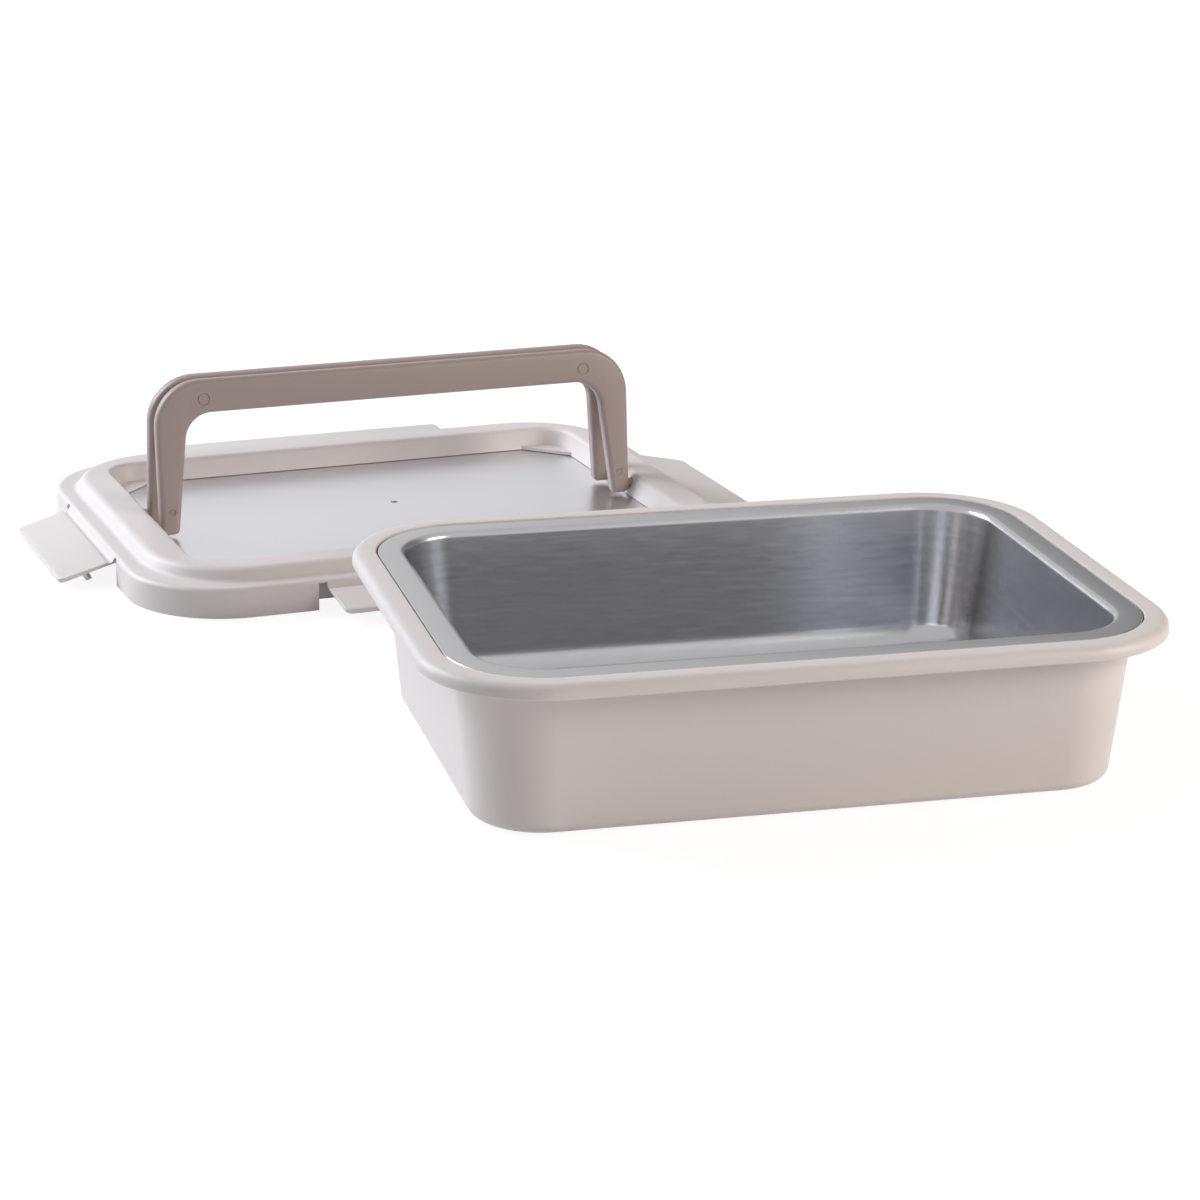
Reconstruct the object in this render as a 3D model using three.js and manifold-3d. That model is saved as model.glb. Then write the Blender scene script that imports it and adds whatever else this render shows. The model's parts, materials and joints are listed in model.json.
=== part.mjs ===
import * as THREE from "three";
import { mergeVertices } from "three/addons/utils/BufferGeometryUtils.js";
import Module from "manifold-3d";

// Grazing box standing open: a plastic tub with a steel tray seated in it, and its lid lying
// on the same surface behind and to the left, handles up and all four latches open.
// Millimetres. Origin at the centre of the tub's underside, +X along the front, +Y to the
// back, +Z up.

const wasm = await Module();
wasm.setup();

// Gap between neighbouring pieces
const GAP = 0.3;

// Rounded rectangles: flat facets in each corner
const CORNER_STEPS = 8;

// Round pins, holes and sleeves: flat facets
const ROUND_STEPS = 24;

// How far a cut runs past the material
const CUT = 2;

// Tub: insets are measured inwards from the rim's outer edge
const RIM_HALF_X = 169.5;
const RIM_HALF_Y = 126.1;
const RIM_RADIUS = 54.7;
const TUB_HEIGHT = 75;
const TUB_WALL = 2.5;
const TUB_BASE_INSET = 22.4;
const TUB_BASE_ROUND = 5;
const TUB_TOP_INSET = 15.6;
const RIM_LIP_DROP = 6.6;
const RIM_LIP_WALL = 2.6;
const RIM_ROUND = 2.5;
const RIM_EDGE = 0.6;
const RIM_BAND = 11.1;
const SEAT_DEPTH = 3.5;

// Tray: one drawn sheet hanging by its flange on the seat inside the rim
const SHEET = 0.8;
const FLANGE_INSET = 11.6;
const FLANGE_DROP = 0.4;
const FLANGE_ROUND = 1.2;
const OPENING_INSET = 25;
const OPENING_ROUND = 3;
const TRAY_BASE_INSET = 32.8;
const TRAY_BASE_ROUND = 12.2;
const TRAY_FLOOR = 5.8;
const TRAY_MIN_RADIUS = 24;

// Lid: lies turned on the surface; insets are measured inwards from the skirt
const LID_X = -95;
const LID_Y = 364;
const LID_TURN = 7.33;
const LID_HALF_X = 171;
const LID_HALF_Y = 131.3;
const LID_RADIUS = 53.4;
const LID_WALL = 2.5;
const SKIRT_WALL = 1.2;
const SKIRT_EDGE = 0.5;
const LEDGE_TOP = 16;
const LEDGE_ROUND = 3.2;
const STEP_INSET = 11;
const STEP_FILLET = 2;
const STEP_ROUND = 3.5;
const STEP_CHAMFER = 1;
const LID_TOP = 22.8;
const RECESS_INSET = 32.1;
const RECESS_ROUND = 3;
const RECESS_RADIUS = 14.6;
const RECESS_DRAFT = 3;
const STEP_RADIUS = 51.4;
const GUSSET_THICK = 1.8;
const GUSSET_REACH = 25;

// Steel panel of the lid, pinched between the frame and the inner cover
const PANEL_TOP = 10.8;
const PANEL_SHEET = 1;
const PANEL_INSET = 23;
const VENT_X = 5.5;
const VENT_Y = 13.5;
const VENT_RADIUS = 2;

// Inner cover under the panel, with the groove that holds the gasket
const COVER_INSET = 6;
const COVER_UNDER = 7.3;
const COVER_FOOT = 4.2;
const COVER_WALL = 2.2;
const COVER_TOP = 13.1;
const GROOVE_INSET = 13;
const GROOVE_WIDTH = 7;
const GROOVE_DEPTH = 3.8;
const GASKET_PROUD = 1.7;
const GASKET_NOSE = 2;
const GASKET_SHOULDER = 1.4;
const GROMMET_RADIUS = 3.6;
const GROMMET_FLANGE = 6;
const GROMMET_FLANGE_THICK = 1.1;

// Handles: two equal bails that lean on each other
const BAIL_HALF = 136.3;
const BAIL_RISE = 78.7;
const BAIL_GRIP = 18.9;
const BAIL_THICK = 8;
const BAIL_LEG_TOP = 18.8;
const BAIL_LEG_FOOT = 10.3;
const BAIL_FOOT = 4;
const BAIL_FOOT_ROUND = 2;
const BAIL_OUTER_ROUND = 21;
const BAIL_INNER_ROUND = 14;
const BAIL_BEVEL = 1.8;
const PIVOT_Y = 13.5;
const PIVOT_Z = 17.6;
const BAIL_LEAN = 6.7;
const TRUNNION_RADIUS = 2.5;
const TRUNNION_LENGTH = 7.5;
const TRUNNION_ROOT = 2;
const SOCKET_LENGTH = 10;

// Latches: flaps on the four sides, each with a hook that catches under the rim's lip
const LATCH_LENGTH = 31;
const LATCH_TOP = 0.9;
const LATCH_END_TOP = 1.5;
const LATCH_UNDER = 0.8;
const LATCH_EDGE = 0.5;
const LATCH_TAPER = 1.1;
const LATCH_CORNER = 4;
const CREASE_FLOOR = 0.1;
const CREASE_START = 0.5;
const CREASE_END = 4.2;
const CREASE_SLOPE = 0.6;
const HINGE_INSET = 0.6;
const HINGE_RADIUS = 0.9;
const HINGE_Z = 12.2;
const WINDOW_DEPTH = 2.6;
const WINDOW_TOP = 14.6;
const SLIT = 4.5;
const HOOK_FACE = 15.6;
const HOOK_BACK = 17.3;
const SHORT_HOOK = 4.8;
const LONG_HOOK = 6.6;
const HOOK_LIP = 1.6;
const HOOK_LIP_THICK = 1.3;
const HOOK_ROUND = 0.5;
const LATCHES = [
  { name: "latch_front", turn: 0, reach: LID_HALF_Y, half: 78.5, droop: 9.5, hook: LONG_HOOK },
  { name: "latch_right", turn: 90, reach: LID_HALF_X, half: 58, droop: 13, hook: SHORT_HOOK },
  { name: "latch_back", turn: 180, reach: LID_HALF_Y, half: 81.5, droop: 0, hook: LONG_HOOK },
  { name: "latch_left", turn: 270, reach: LID_HALF_X, half: 52, droop: 17, hook: SHORT_HOOK },
];

const COLOURS = {
  shell: { color: 0xd8d2cc, roughness: 0.55, metalness: 0 },
  taupe: { color: 0x94857e, roughness: 0.5, metalness: 0 },
  steel: { color: 0xc4cacd, roughness: 0.3, metalness: 1 },
  silicone: { color: 0xe6e6e4, roughness: 0.7, metalness: 0 },
};

const rad = THREE.MathUtils.degToRad;

// Section points [inset, height] of an arc, angles in degrees
function arc(inset, height, radius, from, to, steps = 4) {
  return Array.from({ length: steps + 1 }, (_, k) => {
    const angle = rad(from + ((to - from) * k) / steps);
    return [inset + radius * Math.cos(angle), height + radius * Math.sin(angle)];
  });
}

// One rounded rectangle as a ring of points, anticlockwise from above
function ring(halfX, halfY, radius, z) {
  const points = [];
  for (let corner = 0; corner < 4; corner++) {
    const sideX = corner === 0 || corner === 3 ? 1 : -1;
    const sideY = corner < 2 ? 1 : -1;
    for (let k = 0; k <= CORNER_STEPS; k++) {
      const angle = ((corner + k / CORNER_STEPS) * Math.PI) / 2;
      const x = sideX * (halfX - radius) + radius * Math.cos(angle);
      const y = sideY * (halfY - radius) + radius * Math.sin(angle);
      points.push([x, y, z]);
    }
  }
  return points;
}

// Skin through a row of rings: closed by flat ends, or joined end to start as a frame
function loft(rings, capped) {
  const count = rings[0].length;
  const positions = rings.flat(2);
  const faces = [];
  const spans = capped ? rings.length - 1 : rings.length;
  for (let j = 0; j < spans; j++) {
    const low = j * count;
    const high = ((j + 1) % rings.length) * count;
    for (let i = 0; i < count; i++) {
      const next = (i + 1) % count;
      faces.push(low + i, low + next, high + next, low + i, high + next, high + i);
    }
  }
  if (capped) {
    const last = (rings.length - 1) * count;
    const centre = rings.length * count;
    positions.push(0, 0, rings[0][0][2], 0, 0, rings.at(-1)[0][2]);
    for (let i = 0; i < count; i++) {
      const next = (i + 1) % count;
      faces.push(centre, next, i, centre + 1, last + i, last + next);
    }
  }
  const geometry = new THREE.BufferGeometry();
  geometry.setAttribute("position", new THREE.Float32BufferAttribute(positions, 3));
  geometry.setIndex(faces);
  return geometry;
}

// Section [inset, height] carried round a rounded rectangle
function wallAround(section, halfX, halfY, radiusAt, capped) {
  const rings = section.map(([inset, z]) =>
    ring(halfX - inset, halfY - inset, radiusAt(inset), z),
  );
  return loft(rings, capped);
}

// Closed outline through corners [x, y, radius], each rounded by an arc
function outline(corners, steps = 6) {
  const count = corners.length;
  const points = [];
  corners.forEach(([x, y, radius], i) => {
    const [beforeX, beforeY] = corners[(i + count - 1) % count];
    const [afterX, afterY] = corners[(i + 1) % count];
    const corner = new THREE.Vector2(x, y);
    if (!radius) {
      points.push(corner);
      return;
    }
    const back = new THREE.Vector2(beforeX - x, beforeY - y).normalize();
    const ahead = new THREE.Vector2(afterX - x, afterY - y).normalize();
    const half = Math.acos(back.dot(ahead)) / 2;
    const sweep = Math.sign(ahead.cross(back)) * (Math.PI - 2 * half);
    const bisector = back.clone().add(ahead).normalize();
    const centre = bisector.multiplyScalar(radius / Math.sin(half)).add(corner);
    const start = back.multiplyScalar(radius / Math.tan(half)).add(corner).sub(centre);
    for (let k = 0; k <= steps; k++) {
      const spoke = start.clone().rotateAround(new THREE.Vector2(), (sweep * k) / steps);
      points.push(spoke.add(centre));
    }
  });
  return new THREE.Shape(points);
}

function extrude(shape, depth, bevel = 0) {
  const geometry = new THREE.ExtrudeGeometry(shape, {
    depth: depth - 2 * bevel,
    bevelEnabled: bevel > 0,
    bevelThickness: bevel,
    bevelSize: bevel,
    bevelOffset: -bevel,
    bevelSegments: 2,
    curveSegments: 8,
  });
  return geometry.translate(0, 0, bevel);
}

// Cylinder along X
function pin(radius, length, x, y, z) {
  const geometry = new THREE.CylinderGeometry(radius, radius, length, ROUND_STEPS);
  return geometry.rotateZ(Math.PI / 2).translate(x, y, z);
}

function solid(geometry) {
  const plain = geometry.clone();
  plain.deleteAttribute("normal");
  plain.deleteAttribute("uv");
  const merged = mergeVertices(plain, 1e-4);
  const vertProperties = new Float32Array(merged.attributes.position.array);
  const triVerts = new Uint32Array(merged.index.array);
  return new wasm.Manifold(new wasm.Mesh({ numProp: 3, vertProperties, triVerts }));
}

function skin(body) {
  const data = body.getMesh();
  const geometry = new THREE.BufferGeometry();
  geometry.setAttribute("position", new THREE.BufferAttribute(data.vertProperties, 3));
  geometry.setIndex(new THREE.BufferAttribute(data.triVerts, 1));
  return geometry;
}

function piece(name, geometry, colour) {
  const shaded = geometry.index ? geometry.toNonIndexed() : geometry;
  shaded.computeVertexNormals();
  const mesh = new THREE.Mesh(shaded, new THREE.MeshStandardMaterial(COLOURS[colour]));
  mesh.name = name;
  return mesh;
}

function makeTub() {
  const rimFoot = TUB_HEIGHT - RIM_LIP_DROP;
  const seat = TUB_HEIGHT - SEAT_DEPTH;
  const section = [
    ...arc(TUB_BASE_INSET + TUB_BASE_ROUND, TUB_BASE_ROUND, TUB_BASE_ROUND, 270, 180),
    [TUB_TOP_INSET, seat - TUB_WALL],
    [RIM_BAND - TUB_WALL, seat - TUB_WALL],
    [RIM_BAND - TUB_WALL, TUB_HEIGHT - RIM_LIP_WALL],
    [RIM_LIP_WALL, TUB_HEIGHT - RIM_LIP_WALL],
    [RIM_LIP_WALL, rimFoot],
    [RIM_EDGE, rimFoot],
    [0, rimFoot + RIM_EDGE],
    ...arc(RIM_ROUND, TUB_HEIGHT - RIM_ROUND, RIM_ROUND, 180, 90),
    ...arc(RIM_BAND - RIM_EDGE, TUB_HEIGHT - RIM_EDGE, RIM_EDGE, 90, 0, 2),
    [RIM_BAND, seat],
    [TUB_TOP_INSET + TUB_WALL, seat],
    ...arc(
      TUB_BASE_INSET + TUB_WALL + TUB_BASE_ROUND,
      TUB_WALL + TUB_BASE_ROUND,
      TUB_BASE_ROUND,
      180,
      270,
    ),
  ];
  const radiusAt = (inset) => RIM_RADIUS - inset;
  return piece("tub", wallAround(section, RIM_HALF_X, RIM_HALF_Y, radiusAt, true), "shell");
}

function makeTray() {
  const top = TUB_HEIGHT - FLANGE_DROP;
  const lipFoot = TUB_HEIGHT - SEAT_DEPTH + GAP;
  const bendX = OPENING_INSET - OPENING_ROUND;
  const bendZ = top - OPENING_ROUND;
  const baseX = TRAY_BASE_INSET + TRAY_BASE_ROUND;
  const baseZ = TRAY_FLOOR + TRAY_BASE_ROUND;
  const section = [
    ...arc(baseX, baseZ, TRAY_BASE_ROUND + SHEET, 270, 180, 5),
    ...arc(bendX, bendZ, OPENING_ROUND - SHEET, 0, 90, 3),
    [FLANGE_INSET + FLANGE_ROUND, top - SHEET],
    [FLANGE_INSET + SHEET, top - FLANGE_ROUND],
    [FLANGE_INSET + SHEET, lipFoot],
    [FLANGE_INSET, lipFoot],
    ...arc(FLANGE_INSET + FLANGE_ROUND, top - FLANGE_ROUND, FLANGE_ROUND, 180, 90, 3),
    ...arc(bendX, bendZ, OPENING_ROUND, 90, 0, 3),
    ...arc(baseX, baseZ, TRAY_BASE_ROUND, 180, 270, 5),
  ];
  const radiusAt = (inset) => Math.max(RIM_RADIUS - inset, TRAY_MIN_RADIUS);
  return piece("tray", wallAround(section, RIM_HALF_X, RIM_HALF_Y, radiusAt, true), "steel");
}

// Corner plates that cover the cropped corners of the steel panel
function makeGussets() {
  const inset = RECESS_INSET + RECESS_DRAFT - LID_WALL / 2;
  const x = LID_HALF_X - inset;
  const y = LID_HALF_Y - inset;
  const corners = [
    [x, y - GUSSET_REACH, 0],
    [x, y, RECESS_RADIUS + LID_WALL / 2],
    [x - GUSSET_REACH, y, 0],
  ];
  return [[1, 1], [-1, 1], [-1, -1], [1, -1]].map(([sideX, sideY]) => {
    const turned = corners.map(([cx, cy, r]) => [sideX * cx, sideY * cy, r]);
    if (sideX * sideY < 0) turned.reverse();
    return extrude(outline(turned), GUSSET_THICK).translate(0, 0, PANEL_TOP + GAP);
  });
}

function makeLidFrame() {
  const under = LEDGE_TOP - LID_WALL;
  const inner = LID_TOP - LID_WALL;
  const foot = PANEL_TOP + GAP;
  const section = [
    [SKIRT_EDGE, 0],
    [0, SKIRT_EDGE],
    ...arc(LEDGE_ROUND, LEDGE_TOP - LEDGE_ROUND, LEDGE_ROUND, 180, 90),
    ...arc(STEP_INSET - STEP_FILLET, LEDGE_TOP + STEP_FILLET, STEP_FILLET, 270, 360, 3),
    ...arc(STEP_INSET + STEP_ROUND, LID_TOP - STEP_ROUND, STEP_ROUND, 180, 90),
    ...arc(RECESS_INSET - RECESS_ROUND, LID_TOP - RECESS_ROUND, RECESS_ROUND, 90, 0, 3),
    [RECESS_INSET + RECESS_DRAFT, foot],
    [RECESS_INSET + RECESS_DRAFT - LID_WALL, foot],
    [RECESS_INSET - LID_WALL, inner],
    [STEP_INSET + STEP_ROUND, inner],
    [STEP_INSET + LID_WALL, inner - STEP_CHAMFER],
    [STEP_INSET + LID_WALL, under + STEP_CHAMFER],
    [STEP_INSET + LID_WALL - STEP_CHAMFER, under],
    [SKIRT_WALL, under],
    [SKIRT_WALL, 0],
  ];
  const ledge = STEP_INSET - STEP_FILLET;
  const middle = (STEP_INSET + RECESS_INSET) / 2;
  const radiusAt = (inset) => {
    if (inset < ledge) return LID_RADIUS - inset;
    if (inset < middle) return STEP_RADIUS + STEP_INSET - inset;
    return RECESS_RADIUS + RECESS_INSET + RECESS_DRAFT - inset;
  };
  let body = solid(wallAround(section, LID_HALF_X, LID_HALF_Y, radiusAt, false));
  for (const gusset of makeGussets()) body = body.add(solid(gusset));

  // Windows in the skirt where the latches hang
  const bandFoot = HINGE_Z + HINGE_RADIUS + GAP;
  for (const { turn, reach, half } of LATCHES) {
    const y = WINDOW_DEPTH / 2 - reach;
    const cuts = [
      { x: 0, width: 2 * half + SLIT, top: bandFoot },
      { x: half + SLIT / 2, width: SLIT, top: WINDOW_TOP },
      { x: -half - SLIT / 2, width: SLIT, top: WINDOW_TOP },
    ];
    for (const { x, width, top } of cuts) {
      const box = new THREE.BoxGeometry(width, WINDOW_DEPTH + CUT, top + CUT);
      box.translate(x, y - CUT / 2, (top - CUT) / 2).rotateZ(rad(turn));
      body = body.subtract(solid(box));
    }
  }

  // Sockets for the handles' trunnions
  for (const side of [-1, 1]) {
    for (const y of [-PIVOT_Y, PIVOT_Y]) {
      const x = side * (LID_HALF_X - RECESS_INSET);
      body = body.subtract(solid(pin(TRUNNION_RADIUS + GAP, SOCKET_LENGTH, x, y, PIVOT_Z)));
    }
  }
  return piece("lid_frame", skin(body), "shell");
}

function makePanel() {
  const section = [
    [PANEL_INSET, PANEL_TOP - PANEL_SHEET],
    [PANEL_INSET, PANEL_TOP],
  ];
  const radiusAt = (inset) => LID_RADIUS - inset;
  const sheet = solid(wallAround(section, LID_HALF_X, LID_HALF_Y, radiusAt, true));
  const vent = new THREE.CylinderGeometry(VENT_RADIUS, VENT_RADIUS, 2 * CUT, ROUND_STEPS);
  vent.rotateX(Math.PI / 2).translate(VENT_X, VENT_Y, PANEL_TOP);
  return piece("lid_panel", skin(sheet.subtract(solid(vent))), "steel");
}

function makeCover() {
  const web = COVER_UNDER + COVER_WALL;
  const roof = COVER_FOOT + GROOVE_DEPTH;
  const grooveEnd = GROOVE_INSET + GROOVE_WIDTH;
  const section = [
    [grooveEnd + COVER_WALL, COVER_UNDER],
    [grooveEnd + COVER_WALL, COVER_FOOT],
    [grooveEnd, COVER_FOOT],
    [grooveEnd, roof],
    [GROOVE_INSET, roof],
    [GROOVE_INSET, COVER_FOOT],
    [COVER_INSET, COVER_FOOT],
    [COVER_INSET, COVER_TOP],
    [COVER_INSET + COVER_WALL, COVER_TOP],
    [COVER_INSET + COVER_WALL, COVER_FOOT + COVER_WALL],
    [GROOVE_INSET - COVER_WALL, COVER_FOOT + COVER_WALL],
    [GROOVE_INSET - COVER_WALL, roof + COVER_WALL],
    [grooveEnd + COVER_WALL, roof + COVER_WALL],
    [grooveEnd + COVER_WALL, web],
  ];
  const radiusAt = (inset) => LID_RADIUS - inset;
  const body = solid(wallAround(section, LID_HALF_X, LID_HALF_Y, radiusAt, true));
  const holeRadius = GROMMET_RADIUS + GAP;
  const hole = new THREE.CylinderGeometry(holeRadius, holeRadius, COVER_WALL + CUT, ROUND_STEPS);
  hole.rotateX(Math.PI / 2).translate(VENT_X, VENT_Y, COVER_UNDER + COVER_WALL / 2);
  return piece("lid_inner_cover", skin(body.subtract(solid(hole))), "shell");
}

function makeGasket() {
  const top = COVER_FOOT + GROOVE_DEPTH - GAP;
  const foot = COVER_FOOT - GASKET_PROUD;
  const outer = GROOVE_INSET + GAP;
  const inner = GROOVE_INSET + GROOVE_WIDTH - GAP;
  const section = [
    [inner - GASKET_NOSE, foot],
    [outer + GASKET_NOSE, foot],
    [outer, foot + GASKET_SHOULDER],
    [outer, top],
    [inner, top],
    [inner, foot + GASKET_SHOULDER],
  ];
  const radiusAt = (inset) => LID_RADIUS - inset;
  return piece("lid_gasket", wallAround(section, LID_HALF_X, LID_HALF_Y, radiusAt, false), "silicone");
}

// Sleeve that lines the air vent through the inner cover
function makeGrommet() {
  const flangeTop = COVER_UNDER - GAP;
  const flangeFoot = flangeTop - GROMMET_FLANGE_THICK;
  const top = PANEL_TOP - PANEL_SHEET - GAP;
  const section = [
    [VENT_RADIUS, flangeFoot],
    [GROMMET_FLANGE, flangeFoot],
    [GROMMET_FLANGE, flangeTop],
    [GROMMET_RADIUS, flangeTop],
    [GROMMET_RADIUS, top],
    [VENT_RADIUS, top],
    [VENT_RADIUS, flangeFoot],
  ];
  const geometry = new THREE.LatheGeometry(
    section.map(([r, z]) => new THREE.Vector2(r, z)),
    ROUND_STEPS,
  );
  geometry.rotateX(Math.PI / 2).translate(VENT_X, VENT_Y, 0);
  return piece("vent_grommet", skin(solid(geometry)), "silicone");
}

function makeBail(name, side) {
  const inFoot = BAIL_HALF - BAIL_LEG_FOOT;
  const inTop = BAIL_HALF - BAIL_LEG_TOP;
  const gripUnder = BAIL_RISE - BAIL_GRIP;
  const shape = outline([
    [-BAIL_HALF, -BAIL_FOOT, BAIL_FOOT_ROUND],
    [-inFoot, -BAIL_FOOT, BAIL_FOOT_ROUND],
    [-inTop, gripUnder, BAIL_INNER_ROUND],
    [inTop, gripUnder, BAIL_INNER_ROUND],
    [inFoot, -BAIL_FOOT, BAIL_FOOT_ROUND],
    [BAIL_HALF, -BAIL_FOOT, BAIL_FOOT_ROUND],
    [BAIL_HALF, BAIL_RISE, BAIL_OUTER_ROUND],
    [-BAIL_HALF, BAIL_RISE, BAIL_OUTER_ROUND],
  ]);
  const bar = extrude(shape, BAIL_THICK, BAIL_BEVEL).translate(0, 0, -BAIL_THICK / 2);
  let body = solid(bar.rotateX(Math.PI / 2));
  for (const end of [-1, 1]) {
    const length = TRUNNION_LENGTH + TRUNNION_ROOT;
    const x = end * (BAIL_HALF - TRUNNION_ROOT + length / 2);
    body = body.add(solid(pin(TRUNNION_RADIUS, length, x, 0, 0)));
  }
  const bail = piece(name, skin(body), "taupe");
  bail.position.set(0, side * PIVOT_Y, PIVOT_Z);
  bail.rotation.x = side * rad(BAIL_LEAN);
  return bail;
}

function makeLatch({ name, turn, reach, half, droop, hook }) {
  // Section across the hinge: distance out from the hinge line and height over it
  const lip = HOOK_FACE - HOOK_LIP;
  const section = [
    ...arc(0, 0, HINGE_RADIUS, 270, 90, 6),
    [CREASE_START, LATCH_TOP],
    [CREASE_START + CREASE_SLOPE, CREASE_FLOOR],
    [CREASE_END - 2 * CREASE_SLOPE, CREASE_FLOOR],
    [CREASE_END, LATCH_TOP],
    ...arc(LATCH_LENGTH - LATCH_EDGE, LATCH_END_TOP - LATCH_EDGE, LATCH_EDGE, 90, 0, 2),
    ...arc(LATCH_LENGTH - LATCH_EDGE, LATCH_EDGE - LATCH_UNDER, LATCH_EDGE, 0, -90, 2),
    [HOOK_BACK, -LATCH_UNDER],
    [HOOK_BACK, HOOK_ROUND - hook],
    [HOOK_BACK - HOOK_ROUND, -hook],
    [lip + HOOK_ROUND, -hook],
    [lip, HOOK_ROUND - hook],
    [lip, HOOK_LIP_THICK - hook],
    [HOOK_FACE, HOOK_LIP_THICK - hook],
    [HOOK_FACE, -LATCH_UNDER],
  ];
  const shape = new THREE.Shape(section.map(([u, v]) => new THREE.Vector2(u, v)));
  const strip = extrude(shape, 2 * half).translate(0, 0, -half);
  const outward = new THREE.Vector3(0, -1, 0);
  const upward = new THREE.Vector3(0, 0, 1);
  const along = new THREE.Vector3(-1, 0, 0);
  strip.applyMatrix4(new THREE.Matrix4().makeBasis(outward, upward, along));
  const end = half - LATCH_TAPER;
  const plan = outline([
    [-half, CUT, 0],
    [-end, -LATCH_LENGTH, LATCH_CORNER],
    [end, -LATCH_LENGTH, LATCH_CORNER],
    [half, CUT, 0],
  ]);
  const depth = hook + CUT;
  const cutter = extrude(plan, 2 * depth).translate(0, 0, -depth);
  const body = solid(strip).intersect(solid(cutter));
  const flap = piece(name, skin(body), "shell");
  flap.rotation.x = rad(droop);
  flap.position.set(0, -(reach - HINGE_INSET), HINGE_Z);
  const side = new THREE.Group();
  side.name = name + "_side";
  side.rotation.z = rad(turn);
  side.add(flap);
  return side;
}

const lid = new THREE.Group();
lid.name = "lid";
lid.position.set(LID_X, LID_Y, 0);
lid.rotation.z = rad(LID_TURN);
lid.add(
  makeLidFrame(),
  makePanel(),
  makeCover(),
  makeGasket(),
  makeGrommet(),
  makeBail("handle_front", -1),
  makeBail("handle_back", 1),
  ...LATCHES.map(makeLatch),
);

const grazingBox = new THREE.Group();
grazingBox.name = "grazing_box";
grazingBox.add(makeTub(), makeTray(), lid);

export default grazingBox;
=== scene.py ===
"""Grazing box, standing open: a moulded tub with its steel tray, and its lid behind it.

Every piece is laid over its packed solid, in metres, in the same frame.
"""

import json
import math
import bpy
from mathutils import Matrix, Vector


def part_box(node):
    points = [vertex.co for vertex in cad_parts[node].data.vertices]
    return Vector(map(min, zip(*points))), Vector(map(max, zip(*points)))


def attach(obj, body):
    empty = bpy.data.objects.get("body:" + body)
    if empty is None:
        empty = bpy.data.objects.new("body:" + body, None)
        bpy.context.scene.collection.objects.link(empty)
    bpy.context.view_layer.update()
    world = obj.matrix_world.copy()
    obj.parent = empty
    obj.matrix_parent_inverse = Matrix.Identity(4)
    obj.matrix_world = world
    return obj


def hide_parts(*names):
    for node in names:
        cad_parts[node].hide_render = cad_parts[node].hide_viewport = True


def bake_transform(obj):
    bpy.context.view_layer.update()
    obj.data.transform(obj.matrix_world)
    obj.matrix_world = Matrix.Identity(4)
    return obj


bl_info = {
    "name": "Grazing Box",
    "version": (1, 0, 0),
    "blender": (4, 5, 0),
    "location": "View3D > Sidebar > Grazing Box",
    "description": "Builds the mouldings, pressings, handles and latches of a grazing box",
    "category": "Add Mesh",
}

import bmesh
import bpy
from bpy.props import FloatProperty, FloatVectorProperty, PointerProperty
from mathutils import Matrix, Vector

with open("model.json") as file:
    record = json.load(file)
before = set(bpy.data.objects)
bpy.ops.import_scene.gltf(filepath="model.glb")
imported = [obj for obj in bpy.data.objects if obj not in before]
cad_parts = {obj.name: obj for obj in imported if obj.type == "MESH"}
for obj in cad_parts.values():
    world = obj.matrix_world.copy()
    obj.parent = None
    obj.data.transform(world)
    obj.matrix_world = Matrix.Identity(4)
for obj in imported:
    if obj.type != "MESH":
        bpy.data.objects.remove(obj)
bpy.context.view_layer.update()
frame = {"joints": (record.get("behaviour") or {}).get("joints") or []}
JOINTS = {joint["name"]: joint for joint in frame["joints"]}

MM = 0.001
GAP = 0.3 * MM
CORNER_STEPS = 24
SHARP_ANGLE = math.radians(32)
MITRE_LIMIT = 0.2
QUADRANTS = ((1, 1), (-1, 1), (-1, -1), (1, -1))
UNMOVED = Matrix.Identity(4)
LID_SIDES = ("front", "right", "back", "left")

# Places that the packed record gives
_, TUB_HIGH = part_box("tub")
PIVOT_FRONT = Vector(JOINTS["handle_front_fold"]["pos_m"])
PIVOT_BACK = Vector(JOINTS["handle_back_fold"]["pos_m"])
LID_ALONG = Vector(JOINTS["handle_front_fold"]["axis"])
LID_CENTRE = (PIVOT_FRONT + PIVOT_BACK) / 2
LID_CENTRE.z = 0
LID_TURN = math.atan2(LID_ALONG.y, LID_ALONG.x)
LID_PLACE = Matrix.Translation(LID_CENTRE) @ Matrix.Rotation(LID_TURN, 4, "Z")
PIVOT_Y = (PIVOT_BACK - PIVOT_FRONT).length / 2
PIVOT_Z = PIVOT_FRONT.z
HINGE_Z = JOINTS["latch_front_hinge"]["pos_m"][2]

# Tub and tray: insets run inwards from the rim's outer edge
TUB_BASE_ROUND = 5 * MM
RIM_LIP_WALL = 2.6 * MM
RIM_ROUND = 4.6 * MM
RIM_EDGE = 0.6 * MM
SEAT_DEPTH = 3.5 * MM
SHEET = 0.8 * MM
FLANGE_INSET = 11.6 * MM
FLANGE_DROP = 0.4 * MM
FLANGE_ROUND = 1.2 * MM
OPENING_ROUND = 3 * MM
TRAY_BASE_ROUND = 12.2 * MM
TRAY_MIN_RADIUS = 24 * MM

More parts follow.
